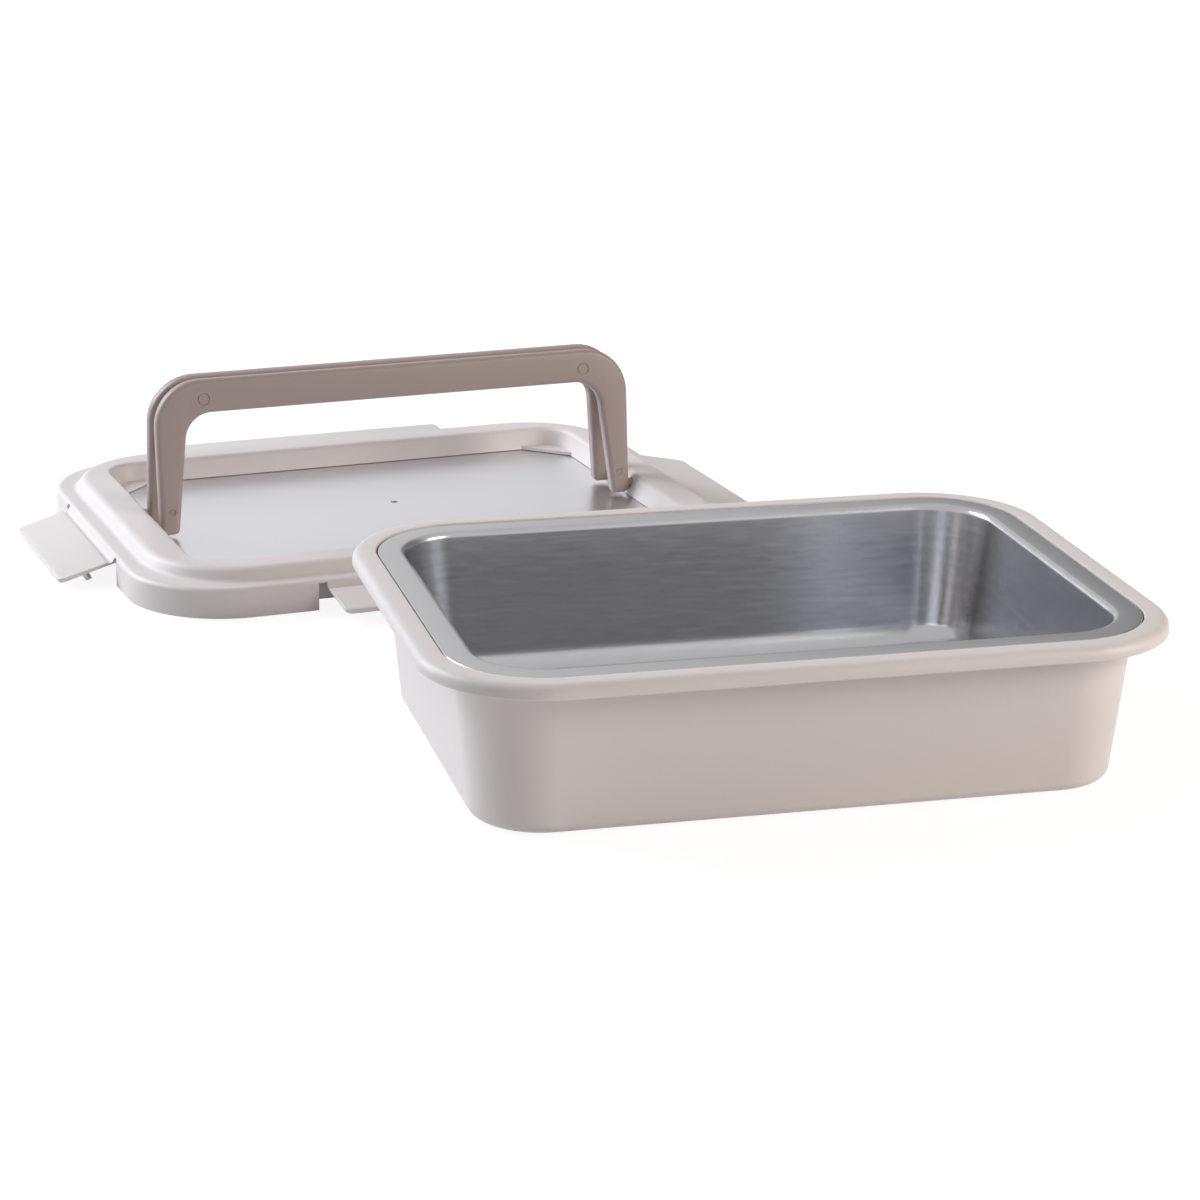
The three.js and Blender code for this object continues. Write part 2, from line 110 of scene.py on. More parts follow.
# Lid: insets run inwards from the skirt
LID_WALL = 2.5 * MM
SKIRT_WALL = 1.2 * MM
SKIRT_EDGE = 0.5 * MM
STEP_SLOPE = 60
STEP_FILLET = 3.5 * MM
STEP_FOOT = 7.3 * MM
STEP_RADIUS = 51.4 * MM
STEP_CHAMFER = 1 * MM
RECESS_RADIUS = 14.6 * MM
RECESS_DRAFT = 3 * MM
GUSSET_THICK = 1.8 * MM
PANEL_SHEET = 1 * MM
PANEL_EDGE = 0.2 * MM
VENT_RADIUS = 2 * MM
HOLE_LENGTH = 10 * MM
COVER_INSET = 6 * MM
COVER_UNDER = 7.3 * MM
COVER_FOOT = 4.2 * MM
COVER_WALL = 2.2 * MM
COVER_TOP = 13.1 * MM
GROOVE_INSET = 13 * MM
GROOVE_WIDTH = 7 * MM
GROOVE_DEPTH = 3.8 * MM
GASKET_PROUD = 1.7 * MM
GASKET_NOSE = 2 * MM
GASKET_SHOULDER = 1.4 * MM
GROMMET_RADIUS = 3.6 * MM
GROMMET_FLANGE = 6 * MM
GROMMET_FLANGE_THICK = 1.1 * MM

# Handles
BAIL_FOOT = 5 * MM
BAIL_FOOT_ROUND = 2.9 * MM
BAIL_OUTER_ROUND = 25 * MM
BAIL_INNER_ROUND = 15 * MM
TRUNNION_RADIUS = 2.5 * MM
TRUNNION_LENGTH = 7.5 * MM
TRUNNION_ROOT = 2 * MM
SOCKET_LENGTH = 10 * MM
EJECTOR_DEPTH = 0.35 * MM
EJECTOR_WIDTH = 0.6 * MM
EJECTOR_MARKS = ((130 * MM, 7.4 * MM, 1.9 * MM), (109.5 * MM, 67.5 * MM, 3.4 * MM))

# Latches: distances out from the hinge line and heights over it
LATCH_DROOPS = {"front": 9.5, "right": 13, "back": 0, "left": 17}
LATCH_HALVES = {"front": 78.5 * MM, "right": 58 * MM, "back": 81.5 * MM, "left": 52 * MM}
LATCH_HOOKS = {"front": 6.6 * MM, "right": 4.8 * MM, "back": 6.6 * MM, "left": 4.8 * MM}
LATCH_TOP = 0.9 * MM
LATCH_END_TOP = 1.5 * MM
LATCH_UNDER = 0.8 * MM
LATCH_ROOT_UNDER = 0.9 * MM
LATCH_EDGE = 0.5 * MM
LATCH_EDGE_SHARE = 0.98
LATCH_EDGE_STEPS = 4
LATCH_TAPER = 1.1 * MM
LATCH_CORNER = 4 * MM
LATCH_CORNER_STEPS = 7
LATCH_STEPS = 4
CREASE_FLOOR = 0.1 * MM
CREASE_START = 0.5 * MM
CREASE_END = 4.2 * MM
CREASE_SLOPE = 0.6 * MM
CREASE_CLEAR = 1 * MM
HINGE_INSET = 0.6 * MM
HINGE_RADIUS = 0.9 * MM
HINGE_NOSE = 0.35
HINGE_STEPS = 4
WEB_START = math.radians(28)
WEB_END = 2.3 * MM
WEB_PROUD = 0.04 * MM
WEB_STEPS = 10
WINDOW_DEPTH = 2.6 * MM
WINDOW_TOP = 14.6 * MM
WINDOW_FOOT = -1 * MM
WINDOW_OUT = 2 * MM
SLIT = 4.5 * MM
HOOK_FACE = 15.6 * MM
HOOK_BACK = 17.3 * MM
HOOK_LIP = 1.6 * MM
HOOK_LIP_THICK = 1.3 * MM
HOOK_ROUND = 0.5 * MM
HOOK_ENDS = {"front": 8 * MM, "right": 2.5 * MM, "back": 8 * MM, "left": 2.5 * MM}

# Finishes: how far the roughness swings over a face, and the height of its relief
NOISE_MIDDLE = 0.5
FLOW_SWING = 0.10
GRAIN_SWING = 0.06
CLOUD_SWING = 0.05
DUST_SWING = 0.16
DUST_SHADES = (0.95, 1.03)
SILICONE_ROUGHNESS = 0.62
PLASTIC_RELIEF = 0.008 * MM
STEEL_RELIEF = 0.004 * MM
SILICONE_RELIEF = 0.02 * MM

# Stage, in metres: the floor, the room that the steel mirrors, the camera and the lamps
TARGET = Vector((-0.05, 0.2, 0.05))
FLOOR_REACH = 8
FLOOR_DROP = 0.5 * MM
FLOOR_SHINE = 1.12
SHADOW_NEAR, SHADOW_FAR = 0.35, 0.9
DARK_BEARING = math.radians(60)
DARK_SIDE = (math.sin(DARK_BEARING), math.cos(DARK_BEARING), 0)
DARK_START, DARK_FULL = 0.60, 0.84
SENSOR_MM = 36
CLIP_START, CLIP_END = 0.05, 50
LAMPS = (
    # name, place, side of the square, tint
    ("left_lamp", (-1.8, 1.5, 1.25), 1.6, (0.865, 0.92, 1.0)),
    ("top_lamp", (-0.2, 0.5, 2.4), 2.4, (0.97, 1.0, 0.96)),
    ("fill_lamp", (1.3, -1.0, 0.8), 0.9, (1.0, 0.945, 0.87)),
)


def length(name, description, millimetres):
    return FloatProperty(
        name=name,
        description=description,
        default=millimetres * MM,
        min=0.0,
        precision=4,
        unit="LENGTH",
    )


def angle(name, description, degrees):
    return FloatProperty(
        name=name,
        description=description,
        default=math.radians(degrees),
        subtype="ANGLE",
    )


def colour(name, description, value):
    return FloatVectorProperty(
        name=name,
        description=description,
        default=value,
        min=0.0,
        max=1.0,
        size=3,
        subtype="COLOR",
    )


def strength(name, description, watts):
    return FloatProperty(
        name=name, description=description, default=watts, min=0.0, unit="POWER"
    )


def share(name, description, value):
    return FloatProperty(
        name=name,
        description=description,
        default=value,
        min=0.0,
        max=1.0,
        subtype="FACTOR",
    )


class GrazingTubSizes(bpy.types.PropertyGroup):
    """Sizes of the tub and the tray"""

    half_x: length("Half length", "Half of the rim's length", TUB_HIGH.x / MM)
    half_y: length("Half width", "Half of the rim's width", TUB_HIGH.y / MM)
    height: length("Height", "Height of the rim over the table", TUB_HIGH.z / MM)
    radius: length("Corner", "Radius of the rim's corners in plan", 54.7)
    wall: length("Wall", "Thickness of the tub's wall", 2.5)
    base_inset: length("Base inset", "How far the wall leans in at its foot", 22.4)
    top_inset: length("Top inset", "How far the wall stands in under the rim", 15.6)
    lip_drop: length("Lip", "Depth of the turned-down lip", 6.6)
    band: length("Band", "Width of the rim's flat top", 11.1)
    opening: length("Tray opening", "Inset of the tray's mouth", 25)
    tray_base: length("Tray base inset", "Inset of the tray's wall at its foot", 32.8)
    tray_floor: length("Tray floor", "Height of the tray's floor", 5.8)


class GrazingLidSizes(bpy.types.PropertyGroup):
    """Sizes of the lid"""

    half_x: length("Half length", "Half of the skirt's length", 171)
    half_y: length("Half width", "Half of the skirt's width", 131.3)
    radius: length("Corner", "Radius of the skirt's corners in plan", 53.4)
    ledge: length("Ledge", "Height of the ledge", 16)
    ledge_round: length("Ledge edge", "Rounding of the ledge's edge", 3.2)
    step: length("Step", "Inset of the raised rim", 11)
    step_round: length("Rim edge", "Rounding of the raised rim", 5.5)
    top: length("Top", "Height of the raised rim", 22.8)
    recess: length("Recess", "Inset of the recess", 32.1)
    recess_round: length("Recess edge", "Rounding of the recess's edge", 3)
    gusset: length("Corner plate", "Reach of the recess's corner plates", 25)
    panel_top: length("Panel", "Height of the steel panel's face", 10.8)
    panel_inset: length("Panel inset", "Inset of the steel panel's edge", 23)
    vent_x: length("Vent along", "Place of the vent along the lid", 5.5)
    vent_y: length("Vent across", "Place of the vent across the lid", 13.5)


class GrazingHandleSizes(bpy.types.PropertyGroup):
    """Sizes of the two bail handles"""

    half: length("Half length", "Half of the bail's length", 136.3)
    rise: length("Rise", "Height of the grip over the pivots", 78.2)
    grip: length("Grip", "Depth of the grip", 18.3)
    thick: length("Thickness", "Thickness of a bail", 8)
    leg_top: length("Leg top", "Width of a leg under the grip", 18)
    leg_foot: length("Leg foot", "Width of a leg at its pivot", 10.3)
    bevel: length("Edge", "Rounding of a bail's edges", 2.8)
    lean: angle("Lean", "How far a bail leans on the other one", 6.1)


class GrazingLatchSizes(bpy.types.PropertyGroup):
    """Sizes of the four latches"""

    reach: length("Reach", "Length of a flap from its hinge", 31)
    web: length("Hinge web", "Thickness of the living hinge", 0.45)


class GrazingFinishes(bpy.types.PropertyGroup):
    """Colours of the pieces and of the stage"""

    shell: colour("Shell", "Plastic of tub, lid and latches", (0.77, 0.698, 0.68))
    handle: colour("Handle", "Plastic of the handles", (0.385, 0.301, 0.279))
    steel: colour("Tray steel", "Stainless steel of the tray", (0.43, 0.43, 0.445))
    panel: colour("Panel steel", "Stainless steel of the lid's panel", (0.675, 0.675, 0.71))
    silicone: colour("Silicone", "Gasket and vent sleeve", (0.80, 0.80, 0.79))
    floor: colour("Floor", "Table top", (0.90, 0.90, 0.90))


class GrazingStageSizes(bpy.types.PropertyGroup):
    """Place of the camera and strength of the lamps"""

    eye: FloatVectorProperty(
        name="Eye",
        description="Place of the camera",
        default=(-0.41856, -1.317938, 0.504138),
        size=3,
        subtype="TRANSLATION",
        unit="LENGTH",
    )
    azimuth: angle("Azimuth", "Direction of the camera round the box", -14.801)
    elevation: angle("Elevation", "Tilt of the camera", 17.688)
    roll: angle("Roll", "Roll of the camera", 0.856)
    lens: length("Lens", "Focal length for a 36 mm sensor", 95.36)
    left_lamp: strength("Left lamp", "Softbox on the left, behind", 66)
    top_lamp: strength("Top lamp", "Softbox overhead", 10.5)
    fill_lamp: strength("Fill lamp", "Softbox on the right, in front", 20)
    ambient: share("Ambient", "Even light of the room", 0.08)
    dark_side: share("Dark side", "Level of the room's dark side in the steel", 0.35)
    floor_glow: share("Floor glow", "How far the table top is washed out to white", 0.80)


class Value:
    """One shader socket. Arithmetic on it adds Math nodes."""

    def __init__(self, finish, node, output=0):
        self.finish = finish
        self.node = node
        self.socket = node.outputs[output]

    def output(self, name):
        return Value(self.finish, self.node, name)

    def math(self, operation, first, second):
        sockets = {0: first, 1: second}
        return self.finish.node("ShaderNodeMath", {"operation": operation}, sockets)

    def __add__(self, other):
        return self.math("ADD", self, other)

    def __sub__(self, other):
        return self.math("SUBTRACT", self, other)

    def __rsub__(self, other):
        return self.math("SUBTRACT", other, self)

    def __mul__(self, other):
        return self.math("MULTIPLY", self, other)

    __radd__ = __add__
    __rmul__ = __mul__

    def swing(self, width):
        """A noise as a step away from its middle, as wide as given."""
        return width * (self - NOISE_MIDDLE)


class Finish:
    """A node tree that is filled by plain expressions."""

    def __init__(self, tree):
        self.tree = tree
        self.tree.nodes.clear()

    def node(self, kind, settings=None, sockets=None):
        made = self.tree.nodes.new(kind)
        for name, setting in (settings or {}).items():
            setattr(made, name, setting)
        for name, given in (sockets or {}).items():
            if isinstance(given, Value):
                self.tree.links.new(given.socket, made.inputs[name])
            else:
                made.inputs[name].default_value = given
        return Value(self, made) if made.outputs else made

    def noise(self, scale, detail, stretch=(1, 1, 1)):
        place = self.node("ShaderNodeTexCoord").output("Object")
        mapped = self.node(
            "ShaderNodeMapping", sockets={"Vector": place, "Scale": stretch}
        )
        return self.node(
            "ShaderNodeTexNoise",
            sockets={"Vector": mapped, "Scale": scale, "Detail": detail},
        )

    def blend(self, factor, first, second):
        return self.node(
            "ShaderNodeMix",
            {"data_type": "RGBA"},
            {"Factor": factor, "A": first, "B": second},
        ).output("Result")


def shade(value, factor):
    """A colour made paler or darker."""
    return (*[min(1.0, part * factor) for part in value], 1.0)


def surface(name, base, roughness, bump, metal=0.0):
    """Closes a material: a Principled shader with its colour, roughness and bump."""
    finish = base.finish
    height, depth = bump
    normal = finish.node(
        "ShaderNodeBump",
        sockets={"Height": height, "Strength": 1.0, "Distance": depth},
    )
    shader = finish.node(
        "ShaderNodeBsdfPrincipled",
        sockets={
            "Base Color": base,
            "Roughness": roughness,
            "Normal": normal,
            "Metallic": metal,
        },
    )
    finish.node("ShaderNodeOutputMaterial", sockets={"Surface": shader})
    return bpy.data.materials[name]


def begin(name):
    """A new material, empty."""
    material = bpy.data.materials.new(name)
    material.use_nodes = True
    return Finish(material.node_tree)


def moulded_plastic(name, value, rough, mottle):
    """Satin moulded plastic: cloudy colour, uneven sheen and a fine spark-eroded grain."""
    finish = begin(name)
    cloud = finish.noise(scale=11, detail=3)
    flow = finish.noise(scale=46, detail=4, stretch=(1, 1, 2.2))
    grain = finish.noise(scale=2600, detail=2)
    base = finish.blend(cloud, shade(value, 1 - mottle), shade(value, 1 + mottle))
    roughness = rough + flow.swing(FLOW_SWING) + grain.swing(GRAIN_SWING)
    return surface(name, base, roughness, (grain, PLASTIC_RELIEF))


def drawn_steel(name, value, rough, stretch, streak):
    """Satin stainless sheet: long faint polishing lines and a cloudy sheen."""
    finish = begin(name)
    lines = finish.noise(scale=1, detail=4, stretch=stretch)
    cloud = finish.noise(scale=9, detail=3)
    base = finish.blend(lines, shade(value, 1 - streak), shade(value, 1 + streak))
    roughness = rough + lines.swing(2 * streak) + cloud.swing(CLOUD_SWING)
    return surface(name, base, roughness, (lines, STEEL_RELIEF), metal=1.0)


def soft_silicone(name, value):
    """Matt silicone with a dusty, slightly uneven face."""
    finish = begin(name)
    dust = finish.noise(scale=160, detail=4)
    grain = finish.noise(scale=1500, detail=2)
    base = finish.blend(dust, *[shade(value, factor) for factor in DUST_SHADES])
    roughness = SILICONE_ROUGHNESS + dust.swing(DUST_SWING)
    return surface(name, base, roughness, (grain, SILICONE_RELIEF))


def material_of(kind):
    """The finish of one of the record's slots or of the panel, made when first needed."""
    name = "grazing_" + kind
    made = bpy.data.materials.get(name)
    if made:
        return made
    colours = bpy.context.scene.grazing_finishes
    if kind == "shell_plastic":
        return moulded_plastic(name, colours.shell, rough=0.44, mottle=0.012)
    if kind == "taupe_plastic":
        return moulded_plastic(name, colours.handle, rough=0.42, mottle=0.03)
    if kind == "silicone":
        return soft_silicone(name, colours.silicone)
    if kind == "panel":
        lines = (3, 420, 420)
        return drawn_steel(name, colours.panel, rough=0.30, stretch=lines, streak=0.015)
    lines = (60, 60, 500)
    return drawn_steel(name, colours.steel, rough=0.24, stretch=lines, streak=0.05)


def arc(inset, height, radius, start, stop, steps=6):
    """Section points of an arc, angles in degrees."""
    turns = [math.radians(start + (stop - start) * k / steps) for k in range(steps + 1)]
    return [
        (inset + radius * math.cos(turn), height + radius * math.sin(turn))
        for turn in turns
    ]


def ring(half_x, half_y, radius, z):
    """One rounded rectangle, anticlockwise from above."""
    points = []
    for corner, (side_x, side_y) in enumerate(QUADRANTS):
        for k in range(CORNER_STEPS + 1):
            turn = (corner + k / CORNER_STEPS) * math.pi / 2
            x = side_x * (half_x - radius) + radius * math.cos(turn)
            y = side_y * (half_y - radius) + radius * math.sin(turn)
            points.append(Vector((x, y, z)))
    return points


def loft(rings, capped):
    """Skin through rings of equal count: ended by flat faces, or closed on itself."""
    bm = bmesh.new()
    rows = [[bm.verts.new(point) for point in points] for points in rings]
    spans = list(zip(rows, rows[1:]))
    if not capped:
        spans.append((rows[-1], rows[0]))
    for low, high in spans:
        for i in range(len(low)):
            nxt = (i + 1) % len(low)
            bm.faces.new((low[i], low[nxt], high[nxt], high[i]))
    if capped:
        bm.faces.new(list(reversed(rows[0])))
        bm.faces.new(rows[-1])
    return bm


def wall_around(section, sizes, capped, radius_at=None):
    """Section [inset, height] carried round the rounded rectangle of a tub or lid."""
    rings = []
    for inset, z in section:
        radius = radius_at(inset) if radius_at else sizes.radius - inset
        rings.append(ring(sizes.half_x - inset, sizes.half_y - inset, radius, z))
    return loft(rings, capped)


def rounded_path(corners, steps=10):
    """Closed path through corners (x, y, radius), each rounded by an arc."""
    points = []
    count = len(corners)
    for i, (x, y, radius) in enumerate(corners):
        corner = Vector((x, y))
        if not radius:
            points.append(corner)
            continue
        back = (Vector(corners[i - 1][:2]) - corner).normalized()
        ahead = (Vector(corners[(i + 1) % count][:2]) - corner).normalized()
        half = math.acos(max(-1.0, min(1.0, back.dot(ahead)))) / 2
        turn = ahead.x * back.y - ahead.y * back.x
        sweep = math.copysign(math.pi - 2 * half, turn)
        centre = corner + (back + ahead).normalized() * (radius / math.sin(half))
        spoke = corner + back * (radius / math.tan(half)) - centre
        for k in range(steps + 1):
            points.append(centre + Matrix.Rotation(sweep * k / steps, 2) @ spoke)
    return points


def inset_path(points, distance):
    """An anticlockwise path moved inwards."""
    moved = []
    for i, point in enumerate(points):
        before = (point - points[i - 1]).normalized()
        after = (points[(i + 1) % len(points)] - point).normalized()
        normal = Vector((-before.y - after.y, before.x + after.x)).normalized()
        square = max(MITRE_LIMIT, normal.dot(Vector((-before.y, before.x))))
        moved.append(point + normal * (distance / square))
    return moved


def slab(points, thick, edge, steps=5):
    """A flat bar with rounded edges, its path in X and Z, its thickness along Y."""
    profile = []
    for k in range(steps + 1):
        turn = math.radians(90 * k / steps)
        profile.append((edge * (1 - math.sin(turn)), edge * (1 - math.cos(turn))))
    profile += [(inset, thick - depth) for inset, depth in reversed(profile)]
    rings = []
    for inset, depth in profile:
        moved = inset_path(points, inset) if inset else points
        rings.append([Vector((p.x, depth - thick / 2, p.y)) for p in moved])
    return loft(rings, capped=True)


def circle(radius, steps):
    """Points round the origin, anticlockwise."""
    turns = [2 * math.pi * k / steps for k in range(steps)]
    return [(radius * math.cos(turn), radius * math.sin(turn)) for turn in turns]


def pin(radius, length_x, centre, steps=32):
    """Cylinder along X."""
    ends = [centre.x + end * length_x / 2 for end in (-1, 1)]
    rim = [(centre.y + y, centre.z + z) for y, z in circle(radius, steps)]
    return loft([[Vector((x, y, z)) for y, z in rim] for x in ends], capped=True)


def upright(radius, height, centre, steps=40):
    """Cylinder along Z."""
    ends = [centre.z + end * height / 2 for end in (-1, 1)]
    rim = [(centre.x + x, centre.y + y) for x, y in circle(radius, steps)]
    return loft([[Vector((x, y, z)) for x, y in rim] for z in ends], capped=True)


def turned(section, centre, steps=40):
    """Ring of revolution about Z from its section (radius, height)."""
    rings = [
        [centre + Vector((x, y, z)) for x, y in circle(radius, steps)]
        for radius, z in section
    ]
    return loft(rings, capped=False)


def block(low, high):
    """Box between two corners."""
    corners = [(low.x, low.y), (high.x, low.y), (high.x, high.y), (low.x, high.y)]
    levels = (low.z, high.z)
    return loft([[Vector((x, y, z)) for x, y in corners] for z in levels], capped=True)


def to_mesh(bm, name):
    """Mesh data from a bmesh, with its faces turned outwards."""
    bmesh.ops.recalc_face_normals(bm, faces=bm.faces)
    mesh = bpy.data.meshes.new(name)
    bm.to_mesh(mesh)
    bm.free()
    return mesh


def add_object(name, data):
    """A new object in the scene."""
    made = bpy.data.objects.new(name, data)
    bpy.context.scene.collection.objects.link(made)
    return made


def combine(mesh, tools):
    """Mesh with solids joined to it or cut from it, each with UNION or DIFFERENCE."""
    host = add_object("work", mesh)
    helpers = []
    for solid, operation in tools:
        helper = add_object("tool", to_mesh(solid, "tool"))
        helpers.append(helper)
        step = host.modifiers.new("step", "BOOLEAN")
        step.object = helper
        step.operation = operation
        step.solver = "EXACT"
    graph = bpy.context.evaluated_depsgraph_get()
    made = bpy.data.meshes.new_from_object(host.evaluated_get(graph))
    for used in [host, *helpers]:
        bpy.data.objects.remove(used)
    return made


def dress(mesh, kind):
    """Gives a mesh its finish, smooth except at sharp edges."""
    mesh.materials.clear()
    mesh.materials.append(material_of(kind))
    mesh.shade_smooth()
    mesh.set_sharp_from_angle(angle=SHARP_ANGLE)


def show(name, mesh, place, body, node, slot, kind=None):
    """Puts a finished piece in place, over the solid that it stands for."""
    dress(mesh, kind or slot)
    piece = add_object(name, mesh)
    piece.matrix_world = place
    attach(piece, body)
    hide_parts(node)


class GRAZING_OT_tub(bpy.types.Operator):
    """Moulded tub with its turned-down rim"""

    bl_idname = "grazing.tub"
    bl_label = "Tub"

    def execute(self, context):
        t = context.scene.grazing_tub
        foot = t.height - t.lip_drop
        seat = t.height - SEAT_DEPTH
        edge = RIM_EDGE
        base = t.base_inset + TUB_BASE_ROUND
        section = [
            *arc(base, TUB_BASE_ROUND, TUB_BASE_ROUND, 270, 180, 10),
            (t.top_inset, seat - t.wall),
            (t.band - t.wall, seat - t.wall),
            (t.band - t.wall, t.height - RIM_LIP_WALL),
            (RIM_LIP_WALL, t.height - RIM_LIP_WALL),
            *arc(RIM_LIP_WALL - edge, foot + edge, edge, 360, 270, 4),
            *arc(edge, foot + edge, edge, 270, 180, 4),
            *arc(RIM_ROUND, t.height - RIM_ROUND, RIM_ROUND, 180, 90, 10),
            *arc(t.band - edge, t.height - edge, edge, 90, 0, 4),
            (t.band, seat),
            (t.top_inset + t.wall, seat),
            *arc(base + t.wall, t.wall + TUB_BASE_ROUND, TUB_BASE_ROUND, 180, 270, 8),
        ]
        mesh = to_mesh(wall_around(section, t, capped=True), "tub_moulding")
        show("tub_moulding", mesh, UNMOVED, "tub", "tub", "shell_plastic")
        return {"FINISHED"}


class GRAZING_OT_tray(bpy.types.Operator):
    """Drawn steel tray that hangs by its flange in the tub"""

    bl_idname = "grazing.tray"
    bl_label = "Tray"

    def execute(self, context):
        t = context.scene.grazing_tub

        def radius_at(inset):
            return max(t.radius - inset, TRAY_MIN_RADIUS)

        top = t.height - FLANGE_DROP
        lip = t.height - SEAT_DEPTH + GAP
        bend_x = t.opening - OPENING_ROUND
        bend_z = top - OPENING_ROUND
        base_x = t.tray_base + TRAY_BASE_ROUND
        base_z = t.tray_floor + TRAY_BASE_ROUND
        flange_x = FLANGE_INSET + FLANGE_ROUND
        flange_z = top - FLANGE_ROUND
        inner = FLANGE_ROUND - SHEET
        section = [
            *arc(base_x, base_z, TRAY_BASE_ROUND + SHEET, 270, 180, 12),
            *arc(bend_x, bend_z, OPENING_ROUND - SHEET, 0, 90, 8),
            *arc(flange_x, flange_z, inner, 90, 180, 3),
            (FLANGE_INSET + SHEET, lip),
            (FLANGE_INSET, lip),
            *arc(flange_x, flange_z, FLANGE_ROUND, 180, 90, 6),
            *arc(bend_x, bend_z, OPENING_ROUND, 90, 0, 10),
            *arc(base_x, base_z, TRAY_BASE_ROUND, 180, 270, 14),
        ]
        bm = wall_around(section, t, capped=True, radius_at=radius_at)
        mesh = to_mesh(bm, "tray_pressing")
        show("tray_pressing", mesh, UNMOVED, "tray", "tray", "steel")
        return {"FINISHED"}


def lid_frame_section(s):
    """Skirt, ledge, sloped step, raised rim and recess wall, from outside to inside."""
    under = s.ledge - LID_WALL
    inner = s.top - LID_WALL
    foot = s.panel_top + GAP
    wall = s.step + LID_WALL
    recess_foot = s.recess + RECESS_DRAFT
    brink = s.recess - s.recess_round
    lean = math.radians(STEP_SLOPE)
    bends = STEP_FILLET + s.step_round
    straight = s.top - s.ledge - bends * (1 - math.cos(lean))
    crown = STEP_FOOT + bends * math.sin(lean) + straight / math.tan(lean)
    return [
        *arc(SKIRT_EDGE, SKIRT_EDGE, SKIRT_EDGE, 270, 180, 3),
        *arc(s.ledge_round, s.ledge - s.ledge_round, s.ledge_round, 180, 90, 10),
        *arc(STEP_FOOT, s.ledge + STEP_FILLET, STEP_FILLET, 270, 270 + STEP_SLOPE, 6),
        *arc(crown, s.top - s.step_round, s.step_round, 90 + STEP_SLOPE, 90, 8),
        *arc(brink, s.top - s.recess_round, s.recess_round, 90, 0, 8),
        (recess_foot, foot),
        (recess_foot - LID_WALL, foot),
        (s.recess - LID_WALL, inner),
        (crown, inner),
        (wall, inner - STEP_CHAMFER),
        (wall, under + STEP_CHAMFER),
        (wall - STEP_CHAMFER, under),
        (SKIRT_WALL, under),
        (SKIRT_WALL, 0),
    ]


def corner_plates(s):
    """Plates over the cropped corners of the steel panel."""
    inset = s.recess + RECESS_DRAFT - LID_WALL / 2
    x, y = s.half_x - inset, s.half_y - inset
    low = s.panel_top + GAP
    corners = [
        (x, y - s.gusset, 0),
        (x, y, RECESS_RADIUS + LID_WALL / 2),
        (x - s.gusset, y, 0),
    ]
    levels = (low, low + GUSSET_THICK)
    for side_x, side_y in QUADRANTS:
        outline = [(side_x * cx, side_y * cy, r) for cx, cy, r in corners]
        if side_x * side_y < 0:
            outline.reverse()
        path = rounded_path(outline)
        yield loft([[Vector((p.x, p.y, z)) for p in path] for z in levels], capped=True)


def latch_windows(s):
    """Openings in the skirt where the latches hang, with a slit at each end."""
    band_foot = HINGE_Z + HINGE_RADIUS + GAP
    reaches = {"front": s.half_y, "right": s.half_x, "back": s.half_y, "left": s.half_x}
    for quarter, side in enumerate(LID_SIDES):
        half, reach = LATCH_HALVES[side], reaches[side]
        cuts = [
            (-half - SLIT / 2, half + SLIT / 2, band_foot),
            (half, half + SLIT, WINDOW_TOP),
            (-half - SLIT, -half, WINDOW_TOP),
        ]
        for low, high, top in cuts:
            solid = block(
                Vector((low, -reach - WINDOW_OUT, WINDOW_FOOT)),
                Vector((high, WINDOW_DEPTH - reach, top)),
            )
            solid.transform(Matrix.Rotation(quarter * math.pi / 2, 4, "Z"))
            yield solid


class GRAZING_OT_lid_frame(bpy.types.Operator):
    """Moulded lid frame: skirt, ledge, raised rim and recess"""

    bl_idname = "grazing.lid_frame"
    bl_label = "Lid frame"

    def execute(self, context):
        s = context.scene.grazing_lid
        ledge = STEP_FOOT - GAP
        middle = (s.step + s.recess) / 2

        def radius_at(inset):
            if inset < ledge:
                return s.radius - inset
            if inset < middle:
                return STEP_RADIUS + s.step - inset
            return RECESS_RADIUS + s.recess + RECESS_DRAFT - inset

        bm = wall_around(lid_frame_section(s), s, capped=False, radius_at=radius_at)
        tools = [(plate, "UNION") for plate in corner_plates(s)]
        tools += [(window, "DIFFERENCE") for window in latch_windows(s)]
        for side in (-1, 1):
            for y in (-PIVOT_Y, PIVOT_Y):
                centre = Vector((side * (s.half_x - s.recess), y, PIVOT_Z))
                socket = pin(TRUNNION_RADIUS + GAP, SOCKET_LENGTH, centre)
                tools.append((socket, "DIFFERENCE"))
        mesh = combine(to_mesh(bm, "lid_moulding"), tools)
        show("lid_moulding", mesh, LID_PLACE, "lid", "lid_frame", "shell_plastic")
        return {"FINISHED"}


class GRAZING_OT_lid_panel(bpy.types.Operator):
    """Steel panel of the lid, with its vent hole"""

    bl_idname = "grazing.lid_panel"
    bl_label = "Lid panel"

    def execute(self, context):
        s = context.scene.grazing_lid
        low, high, edge = s.panel_top - PANEL_SHEET, s.panel_top, PANEL_EDGE
        section = [
            (s.panel_inset + edge, low),
            (s.panel_inset, low + edge),
            (s.panel_inset, high - edge),
            (s.panel_inset + edge, high),
        ]
        bm = wall_around(section, s, capped=True)
        hole = upright(VENT_RADIUS, HOLE_LENGTH, Vector((s.vent_x, s.vent_y, high)))
        mesh = combine(to_mesh(bm, "panel_sheet"), [(hole, "DIFFERENCE")])
        show("panel_sheet", mesh, LID_PLACE, "lid", "lid_panel", "steel", kind="panel")
        return {"FINISHED"}


